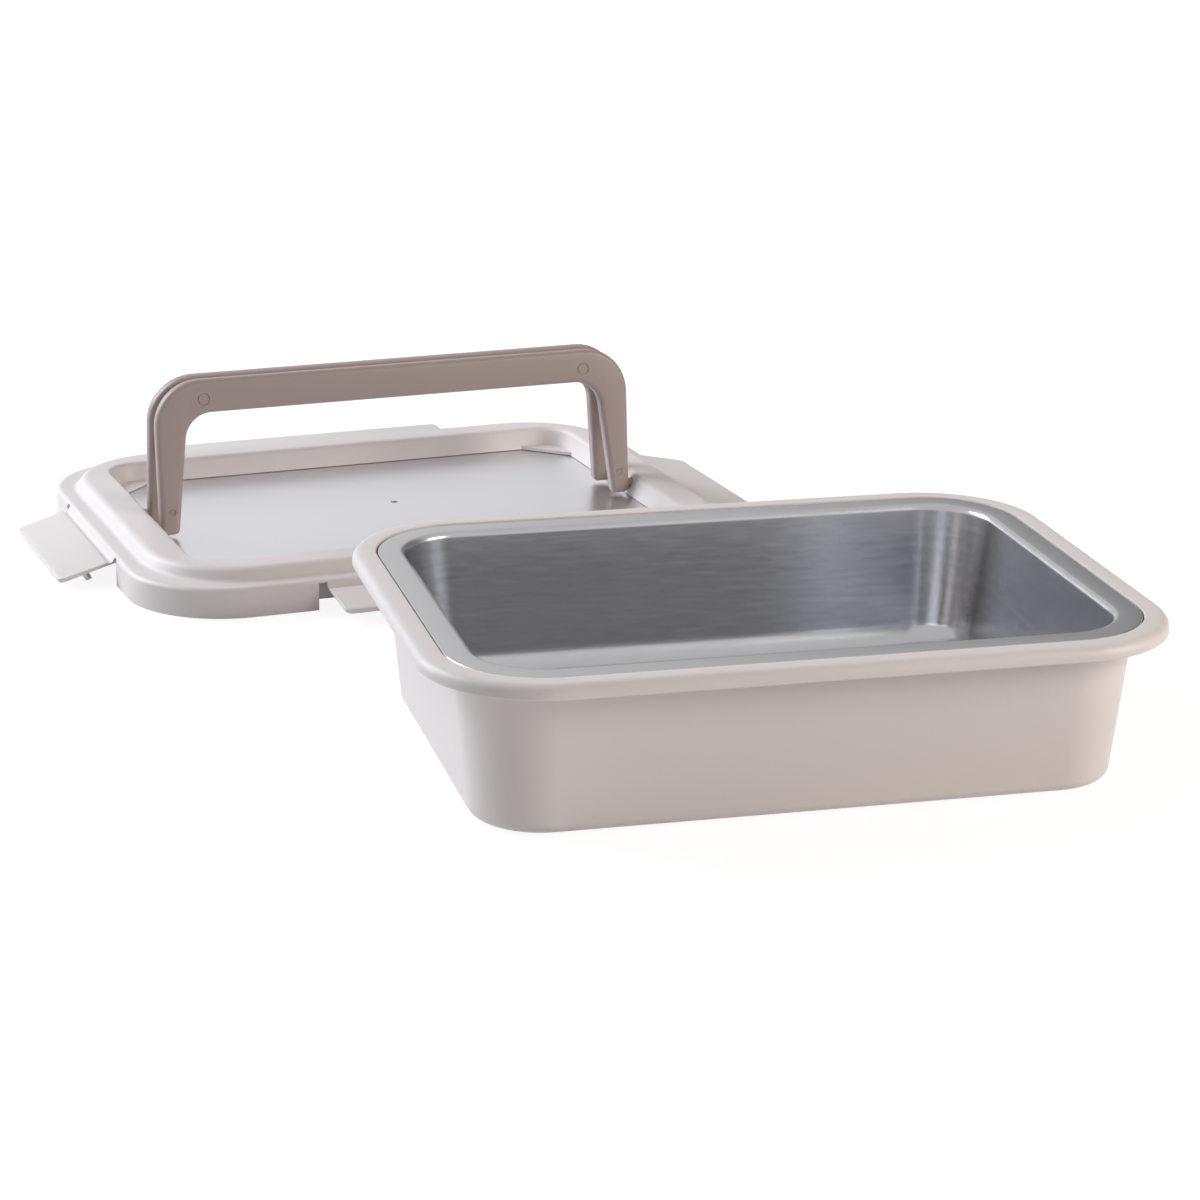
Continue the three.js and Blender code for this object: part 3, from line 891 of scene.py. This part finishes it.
class GRAZING_OT_lid_underside(bpy.types.Operator):
    """Inner cover of the lid, with its gasket and vent sleeve"""

    bl_idname = "grazing.lid_underside"
    bl_label = "Lid underside"

    def execute(self, context):
        s = context.scene.grazing_lid
        self.cover(s)
        self.gasket(s)
        self.sleeve(s)
        return {"FINISHED"}

    def cover(self, s):
        """Moulding that holds the panel from below, with the gasket's groove."""
        web = COVER_UNDER + COVER_WALL
        roof = COVER_FOOT + GROOVE_DEPTH
        end = GROOVE_INSET + GROOVE_WIDTH
        section = [
            (end + COVER_WALL, COVER_UNDER),
            (end + COVER_WALL, COVER_FOOT),
            (end, COVER_FOOT),
            (end, roof),
            (GROOVE_INSET, roof),
            (GROOVE_INSET, COVER_FOOT),
            (COVER_INSET, COVER_FOOT),
            (COVER_INSET, COVER_TOP),
            (COVER_INSET + COVER_WALL, COVER_TOP),
            (COVER_INSET + COVER_WALL, COVER_FOOT + COVER_WALL),
            (GROOVE_INSET - COVER_WALL, COVER_FOOT + COVER_WALL),
            (GROOVE_INSET - COVER_WALL, roof + COVER_WALL),
            (end + COVER_WALL, roof + COVER_WALL),
            (end + COVER_WALL, web),
        ]
        bm = wall_around(section, s, capped=True)
        centre = Vector((s.vent_x, s.vent_y, COVER_UNDER))
        hole = upright(GROMMET_RADIUS + GAP, HOLE_LENGTH, centre)
        mesh = combine(to_mesh(bm, "cover_moulding"), [(hole, "DIFFERENCE")])
        show("cover_moulding", mesh, LID_PLACE, "lid", "lid_inner_cover", "shell_plastic")

    def gasket(self, s):
        """Ring with a narrow nose that stands out of the groove."""
        top = COVER_FOOT + GROOVE_DEPTH - GAP
        foot = COVER_FOOT - GASKET_PROUD
        outer = GROOVE_INSET + GAP
        inner = GROOVE_INSET + GROOVE_WIDTH - GAP
        section = [
            (inner - GASKET_NOSE, foot),
            (outer + GASKET_NOSE, foot),
            (outer, foot + GASKET_SHOULDER),
            (outer, top),
            (inner, top),
            (inner, foot + GASKET_SHOULDER),
        ]
        mesh = to_mesh(wall_around(section, s, capped=False), "gasket_ring")
        show("gasket_ring", mesh, LID_PLACE, "lid", "lid_gasket", "silicone")

    def sleeve(self, s):
        """Flanged sleeve under the vent hole."""
        flange_top = COVER_UNDER - GAP
        flange_foot = flange_top - GROMMET_FLANGE_THICK
        top = s.panel_top - PANEL_SHEET - GAP
        section = [
            (VENT_RADIUS, flange_foot),
            (GROMMET_FLANGE, flange_foot),
            (GROMMET_FLANGE, flange_top),
            (GROMMET_RADIUS, flange_top),
            (GROMMET_RADIUS, top),
            (VENT_RADIUS, top),
        ]
        bm = turned(section, Vector((s.vent_x, s.vent_y, 0)))
        mesh = to_mesh(bm, "vent_sleeve")
        show("vent_sleeve", mesh, LID_PLACE, "lid", "vent_grommet", "silicone")


class GRAZING_OT_handles(bpy.types.Operator):
    """Two bail handles that lean on each other"""

    bl_idname = "grazing.handles"
    bl_label = "Handles"

    def execute(self, context):
        h = context.scene.grazing_handles
        for name, side in (("front", -1), ("back", 1)):
            lean = Matrix.Rotation(side * h.lean, 4, "X")
            pivot = Matrix.Translation((0, side * PIVOT_Y, PIVOT_Z))
            mesh = self.bail(h, side)
            place = LID_PLACE @ pivot @ lean
            node = "handle_" + name
            show(node + "_bail", mesh, place, node, node, "taupe_plastic")
        return {"FINISHED"}

    def bail(self, h, side):
        """Rounded bar with trunnions, and ring marks on its outer face."""
        in_foot, in_top = h.half - h.leg_foot, h.half - h.leg_top
        under = h.rise - h.grip
        path = rounded_path(
            [
                (-h.half, -BAIL_FOOT, BAIL_FOOT_ROUND),
                (-in_foot, -BAIL_FOOT, BAIL_FOOT_ROUND),
                (-in_top, under, BAIL_INNER_ROUND),
                (in_top, under, BAIL_INNER_ROUND),
                (in_foot, -BAIL_FOOT, BAIL_FOOT_ROUND),
                (h.half, -BAIL_FOOT, BAIL_FOOT_ROUND),
                (h.half, h.rise, BAIL_OUTER_ROUND),
                (-h.half, h.rise, BAIL_OUTER_ROUND),
            ]
        )
        bm = slab(path, h.thick, h.bevel)
        tools = []
        for end in (-1, 1):
            stub = TRUNNION_LENGTH + TRUNNION_ROOT
            x = end * (h.half - TRUNNION_ROOT + stub / 2)
            tools.append((pin(TRUNNION_RADIUS, stub, Vector((x, 0, 0))), "UNION"))
            for mark_x, mark_z, radius in EJECTOR_MARKS:
                centre = Vector((end * mark_x, mark_z, -side * h.thick / 2))
                inner = radius - EJECTOR_WIDTH
                low, high = -EJECTOR_DEPTH, EJECTOR_DEPTH
                section = [(inner, low), (radius, low), (radius, high), (inner, high)]
                mark = turned(section, centre)
                mark.transform(Matrix.Rotation(math.pi / 2, 4, "X"))
                tools.append((mark, "DIFFERENCE"))
        return combine(to_mesh(bm, "bail"), tools)


def flap_ring(u, half, top, under):
    """Section of a flap along the hinge line: a rounded rectangle in X and Z."""
    edge = min(LATCH_EDGE, (top + under) / 2 * LATCH_EDGE_SHARE)
    high, low, side = top - edge, edge - under, half - edge
    points = []
    for quarter, (x, z) in enumerate(
        ((side, high), (-side, high), (-side, low), (side, low))
    ):
        start = 90 * quarter
        bend = arc(x, z, edge, start, start + 90, 3)
        points += [Vector((bend_x, -u, bend_z)) for bend_x, bend_z in bend]
    return points


class GRAZING_OT_latches(bpy.types.Operator):
    """Four latch flaps with their hooks and living hinges"""

    bl_idname = "grazing.latches"
    bl_label = "Latches"

    def execute(self, context):
        sizes = context.scene.grazing_latches
        for side in LID_SIDES:
            joint = JOINTS[f"latch_{side}_hinge"]
            along = Vector(joint["axis"]).normalized()
            across = Vector((0, 0, 1)).cross(along)
            turn = Matrix((along, across, (0, 0, 1))).transposed().to_4x4()
            hinge = Matrix.Translation(joint["pos_m"]) @ turn
            droop = math.radians(LATCH_DROOPS[side])
            place = hinge @ Matrix.Rotation(droop, 4, "X")
            half = LATCH_HALVES[side]
            hook = self.hook(half - HOOK_ENDS[side], LATCH_HOOKS[side])
            mesh = self.flap(sizes, half, hook)
            node = "latch_" + side
            show(node + "_flap", mesh, place, node, node, "shell_plastic")
            self.web(sizes, side, half, hinge, droop)
        return {"FINISHED"}

    def flap(self, sizes, half, hook):
        """Plate lofted outwards from the hinge roll, over the crease, to its soft end."""
        reach = sizes.reach

        def half_at(u):
            straight = half - LATCH_TAPER * max(0.0, u) / reach
            over = u - (reach - LATCH_CORNER)
            if over <= 0:
                return straight
            bend = math.sqrt(max(0.0, LATCH_CORNER**2 - over**2))
            return straight - LATCH_CORNER + bend

        def under_at(u):
            share = min(1.0, max(0.0, u / HOOK_FACE))
            return LATCH_ROOT_UNDER + (LATCH_UNDER - LATCH_ROOT_UNDER) * share

        def top_at(u):
            share = max(0.0, u - CREASE_END) / (reach - CREASE_END)
            return LATCH_TOP + (LATCH_END_TOP - LATCH_TOP) * share

        stations = []
        for k in range(HINGE_STEPS + 1):
            turn = math.radians(90 * k / HINGE_STEPS)
            u = -HINGE_RADIUS * math.cos(turn)
            tall = HINGE_RADIUS * (HINGE_NOSE + (1 - HINGE_NOSE) * math.sin(turn))
            stations.append((u, half, tall, tall))
        crease = [
            (CREASE_START, LATCH_TOP),
            (CREASE_START + CREASE_SLOPE / 2, (LATCH_TOP + CREASE_FLOOR) / 2),
            (CREASE_START + CREASE_SLOPE, CREASE_FLOOR),
            (CREASE_END - 2 * CREASE_SLOPE, CREASE_FLOOR),
            (CREASE_END - CREASE_SLOPE, (LATCH_TOP + CREASE_FLOOR) / 2),
            (CREASE_END, LATCH_TOP),
        ]
        stations += [(u, half_at(u), top, under_at(u)) for u, top in crease]
        first = CREASE_END + CREASE_CLEAR
        last = reach - LATCH_CORNER
        for k in range(LATCH_STEPS + 1):
            u = first + (last - first) * k / LATCH_STEPS
            stations.append((u, half_at(u), top_at(u), under_at(u)))
        for k in range(1, LATCH_CORNER_STEPS + 1):
            turn = math.radians(90 * k / LATCH_CORNER_STEPS)
            u = last + (LATCH_CORNER - LATCH_EDGE) * math.sin(turn)
            stations.append((u, half_at(u), top_at(u), LATCH_UNDER))
        for k in range(1, LATCH_EDGE_STEPS):
            turn = math.radians(90 * k / LATCH_EDGE_STEPS)
            u = reach - LATCH_EDGE + LATCH_EDGE * math.sin(turn)
            drop = LATCH_EDGE * (1 - math.cos(turn))
            stations.append((u, half_at(u), top_at(u) - drop, LATCH_UNDER - drop))
        plate = loft([flap_ring(*station) for station in stations], capped=True)
        return combine(to_mesh(plate, "flap"), [(hook, "UNION")])

    def hook(self, end, deep):
        """Bar under the flap with a lip that catches below the tub's rim."""
        lip = HOOK_FACE - HOOK_LIP
        section = [
            (HOOK_BACK, -LATCH_UNDER / 2),
            *arc(HOOK_BACK - HOOK_ROUND, HOOK_ROUND - deep, HOOK_ROUND, 360, 270, 4),
            *arc(lip + HOOK_ROUND, HOOK_ROUND - deep, HOOK_ROUND, 270, 180, 4),
            (lip, HOOK_LIP_THICK - deep),
            (HOOK_FACE, HOOK_LIP_THICK - deep),
            (HOOK_FACE, -LATCH_UNDER / 2),
        ]
        ends = [[Vector((x, -u, v)) for u, v in section] for x in (-end, end)]
        return loft(ends, capped=True)

    def web(self, sizes, side, half, hinge, droop):
        """Thin strip of plastic, curved from the lid's band down to the flap's crease."""
        lid = bpy.context.scene.grazing_lid
        rise = lid.ledge - lid.ledge_round - hinge.translation.z
        rounding = lid.ledge_round + WEB_PROUD
        cos, sin = math.cos(WEB_START), math.sin(WEB_START)
        inset = lid.ledge_round - HINGE_INSET - rounding * cos
        start = Vector((0, inset, rise + rounding * sin))
        falling = Vector((0, -sin, -cos))
        flap = Matrix.Rotation(droop, 3, "X")
        end = flap @ Vector((0, -WEB_END, CREASE_FLOOR + WEB_PROUD))
        inward = flap @ Vector((0, 1, 0))
        gap = end - start
        spread = inward.y * falling.z - inward.z * falling.y
        run = (inward.y * gap.z - inward.z * gap.y) / spread
        control = start + falling * run
        upper, lower = [], []
        for k in range(WEB_STEPS + 1):
            t = k / WEB_STEPS
            point = start * (1 - t) ** 2 + control * (2 * t * (1 - t)) + end * t**2
            slope = (control - start) * (1 - t) + (end - control) * t
            normal = Vector((0, slope.z, -slope.y)).normalized()
            upper.append(point)
            lower.append(point - normal * sizes.web)
        loop = upper + lower[::-1]
        ends = [[Vector((x, p.y, p.z)) for p in loop] for x in (-half, half)]
        mesh = to_mesh(loft(ends, capped=True), "hinge_web")
        dress(mesh, "shell_plastic")
        piece = add_object(f"hinge_web_{side}", mesh)
        piece.matrix_world = hinge
        "latch_" + side
        hinge @ start
        hinge @ end
        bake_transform(piece)


class GRAZING_OT_stage(bpy.types.Operator):
    """Floor, soft studio lamps and the camera"""

    bl_idname = "grazing.stage"
    bl_label = "Stage"

    def execute(self, context):
        scene = context.scene
        scene.view_settings.view_transform = "Standard"
        self.floor(scene)
        self.world(scene)
        self.lamps(scene.grazing_stage)
        self.camera(scene)
        return {"FINISHED"}

    def floor(self, scene):
        """Pale table top, washed out to white away from the box, that keeps its shadow."""
        reach = FLOOR_REACH
        bm = bmesh.new()
        corners = ((-reach, -reach), (reach, -reach), (reach, reach), (-reach, reach))
        bm.faces.new([bm.verts.new((x, y, 0)) for x, y in corners])
        mesh = to_mesh(bm, "floor")
        finish = begin("grazing_floor")
        pale = (*scene.grazing_finishes.floor, 1.0)
        matt = finish.node("ShaderNodeBsdfDiffuse", sockets={"Color": pale})
        glow = finish.node(
            "ShaderNodeEmission",
            sockets={"Color": (1, 1, 1, 1), "Strength": FLOOR_SHINE},
        )
        away = finish.node(
            "ShaderNodeVectorMath",
            {"operation": "LENGTH"},
            {0: finish.node("ShaderNodeTexCoord").output("Object")},
        ).output("Value")
        washed = finish.node(
            "ShaderNodeMapRange",
            sockets={
                "Value": away,
                "From Min": SHADOW_NEAR,
                "From Max": SHADOW_FAR,
                "To Min": scene.grazing_stage.floor_glow,
                "To Max": 1.0,
            },
        )
        path = finish.node("ShaderNodeLightPath")
        share = washed * (path.output("Is Camera Ray") + path.output("Is Glossy Ray"))
        mixed = finish.node("ShaderNodeMixShader", sockets={0: share, 1: matt, 2: glow})
        finish.node("ShaderNodeOutputMaterial", sockets={"Surface": mixed})
        mesh.materials.append(bpy.data.materials["grazing_floor"])
        floor = add_object("floor", mesh)
        floor.location = (TARGET.x, TARGET.y, -FLOOR_DROP)

    def world(self, scene):
        """Even room light; mirrored rays see a white room with a dark side on the right."""
        world = bpy.data.worlds.new("grazing_room")
        scene.world = world
        world.use_nodes = True
        finish = Finish(world.node_tree)
        ambient = scene.grazing_stage.ambient
        towards = finish.node(
            "ShaderNodeVectorMath",
            {"operation": "DOT_PRODUCT"},
            {0: finish.node("ShaderNodeTexCoord").output("Generated"), 1: DARK_SIDE},
        ).output("Value")
        mirrored = finish.node(
            "ShaderNodeMapRange",
            {"interpolation_type": "SMOOTHSTEP"},
            {
                "Value": towards,
                "From Min": DARK_START,
                "From Max": DARK_FULL,
                "To Min": 1.0,
                "To Max": scene.grazing_stage.dark_side,
            },
        )
        path = finish.node("ShaderNodeLightPath")
        level = ambient + (1 - ambient) * path.output("Is Camera Ray")
        level = level + (mirrored - ambient) * path.output("Is Glossy Ray")
        sky = finish.node(
            "ShaderNodeBackground", sockets={"Color": (1, 1, 1, 1), "Strength": level}
        )
        finish.node("ShaderNodeOutputWorld", sockets={"Surface": sky})

    def lamps(self, stage):
        """Square softboxes that look at the box."""
        for name, place, size, tint in LAMPS:
            lamp = bpy.data.lights.new(name, "AREA")
            lamp.shape = "SQUARE"
            lamp.size = size
            lamp.energy = getattr(stage, name)
            lamp.color = tint
            made = add_object(name, lamp)
            made.visible_glossy = name != "top_lamp"
            made.location = place
            aim = (TARGET - Vector(place)).to_track_quat("-Z", "Y")
            made.rotation_euler = aim.to_euler()

    def camera(self, scene):
        """Camera at the place and angle that the outlines give."""
        stage = scene.grazing_stage
        a, e, r = stage.azimuth, stage.elevation, stage.roll
        level = math.cos(e)
        back = Vector((math.sin(a) * level, -math.cos(a) * level, math.sin(e)))
        right = Vector((math.cos(a), math.sin(a), 0))
        up = back.cross(right)
        rolled_right = right * math.cos(r) + up * math.sin(r)
        rolled_up = up * math.cos(r) - right * math.sin(r)
        turn = Matrix((rolled_right, rolled_up, back)).transposed().to_4x4()
        lens = bpy.data.cameras.new("eye")
        lens.sensor_width = SENSOR_MM
        lens.lens = stage.lens / MM
        lens.clip_start, lens.clip_end = CLIP_START, CLIP_END
        eye = add_object("eye", lens)
        eye.matrix_world = Matrix.Translation(stage.eye) @ turn
        scene.camera = eye


PIECES = (
    GRAZING_OT_tub,
    GRAZING_OT_tray,
    GRAZING_OT_lid_frame,
    GRAZING_OT_lid_panel,
    GRAZING_OT_lid_underside,
    GRAZING_OT_handles,
    GRAZING_OT_latches,
    GRAZING_OT_stage,
)

GROUPS = {
    "grazing_tub": GrazingTubSizes,
    "grazing_lid": GrazingLidSizes,
    "grazing_handles": GrazingHandleSizes,
    "grazing_latches": GrazingLatchSizes,
    "grazing_finishes": GrazingFinishes,
    "grazing_stage": GrazingStageSizes,
}


class GRAZING_PT_sidebar(bpy.types.Panel):
    """Sizes, colours and pieces of the grazing box"""

    bl_label = "Grazing Box"
    bl_idname = "GRAZING_PT_sidebar"
    bl_space_type = "VIEW_3D"
    bl_region_type = "UI"
    bl_category = "Grazing Box"

    def draw(self, context):
        for name, group in GROUPS.items():
            box = self.layout.box()
            box.label(text=group.__doc__)
            for prop in group.__annotations__:
                box.prop(getattr(context.scene, name), prop)
        for piece in PIECES:
            self.layout.operator(piece.bl_idname)


def register():
    for group in GROUPS.values():
        bpy.utils.register_class(group)
    for name, group in GROUPS.items():
        setattr(bpy.types.Scene, name, PointerProperty(type=group))
    for cls in (*PIECES, GRAZING_PT_sidebar):
        bpy.utils.register_class(cls)


def unregister():
    for cls in (GRAZING_PT_sidebar, *reversed(PIECES)):
        bpy.utils.unregister_class(cls)
    for name in GROUPS:
        delattr(bpy.types.Scene, name)
    for group in reversed(list(GROUPS.values())):
        bpy.utils.unregister_class(group)


def main():
    register()
    for piece in PIECES:
        space, call = piece.bl_idname.split(".")
        getattr(getattr(bpy.ops, space), call)()


if __name__ == "__main__":
    main()
